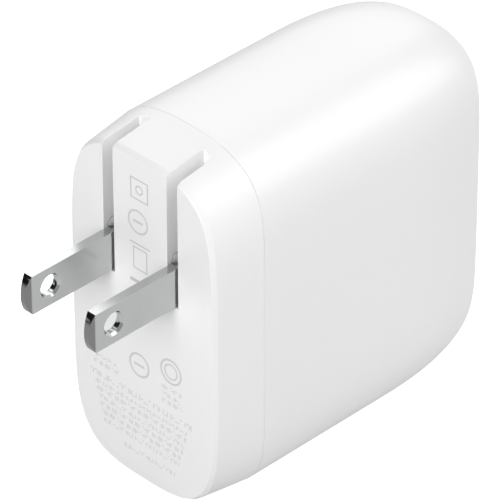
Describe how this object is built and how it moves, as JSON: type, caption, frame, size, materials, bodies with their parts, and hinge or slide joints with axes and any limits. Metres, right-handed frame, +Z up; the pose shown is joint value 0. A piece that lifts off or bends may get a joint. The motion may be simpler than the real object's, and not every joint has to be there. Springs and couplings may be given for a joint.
{
  "type": "usb wall charger",
  "caption": "Tall white wall charger with a folding two-blade plug, a plug cap welded to a soft-cornered housing, and USB-C ports at the far end.",
  "frame": {"origin": "midway between the two plug blades, on the flat face that meets the wall", "axes": "-Y along the blades towards the wall socket, +Y towards the USB ports, +X across the blade pair, +Z up"},
  "size_m": [0.03, 0.0739, 0.0582],
  "materials": {
    "white_shell": "satin moulded white plastic",
    "carrier_plastic": "moulded pale plastic",
    "retainer_plastic": "moulded plastic",
    "blade_metal": "polished nickel plate",
    "spring_steel": "spring steel",
    "contact_bronze": "phosphor bronze",
    "board_laminate": "glass-fibre laminate",
    "header_plastic": "black plastic",
    "port_steel": "drawn stainless steel",
    "port_insulator": "black plastic",
    "contact_gold": "gold plate",
    "ferrite": "sintered ferrite",
    "bobbin_plastic": "phenolic plastic",
    "winding_tape": "polyester tape over copper",
    "capacitor_sleeve": "shrink sleeve",
    "bare_aluminium": "bare aluminium",
    "copper_wire": "enamelled copper",
    "film_case": "moulded box",
    "ceramic_disc": "dipped ceramic",
    "fuse_body": "moulded body",
    "chip_package": "moulded package",
    "insulation_film": "polyester film"
  },
  "bodies": {
    "charger_body": {"plug_cap": "white_shell", "main_housing": "white_shell", "plug_retainer": "retainer_plastic", "detent_spring": "spring_steel", "contact_spring_left": "contact_bronze", "contact_spring_right": "contact_bronze", "main_board": "board_laminate", "port_board": "board_laminate", "board_link": "header_plastic", "port_shell_upper": "port_steel", "port_shell_lower": "port_steel", "port_core_upper": "port_insulator", "port_core_lower": "port_insulator", "port_contacts_upper": "contact_gold", "port_contacts_lower": "contact_gold", "transformer_core": "ferrite", "transformer_bobbin": "bobbin_plastic", "transformer_winding": "winding_tape", "main_capacitor_front": "capacitor_sleeve", "main_capacitor_rear": "capacitor_sleeve", "choke_core": "ferrite", "choke_winding": "copper_wire", "mains_capacitor": "film_case", "safety_capacitor": "ceramic_disc", "fuse": "fuse_body", "bridge_rectifier": "chip_package", "power_switch": "chip_package", "port_controller": "chip_package", "output_capacitors": "bare_aluminium", "heat_spreader": "bare_aluminium", "insulating_sheet": "insulation_film"},
    "folding_plug": {"blade_carrier": "carrier_plastic", "blade_left": "blade_metal", "blade_right": "blade_metal"}
  },
  "joints": [
    {"name": "blade_fold", "type": "hinge", "parent": "charger_body", "child": "folding_plug", "pos_m": [0, 0.0037, 0], "axis": [-1, 0, 0], "range_deg": [0, 90]}
  ]
}
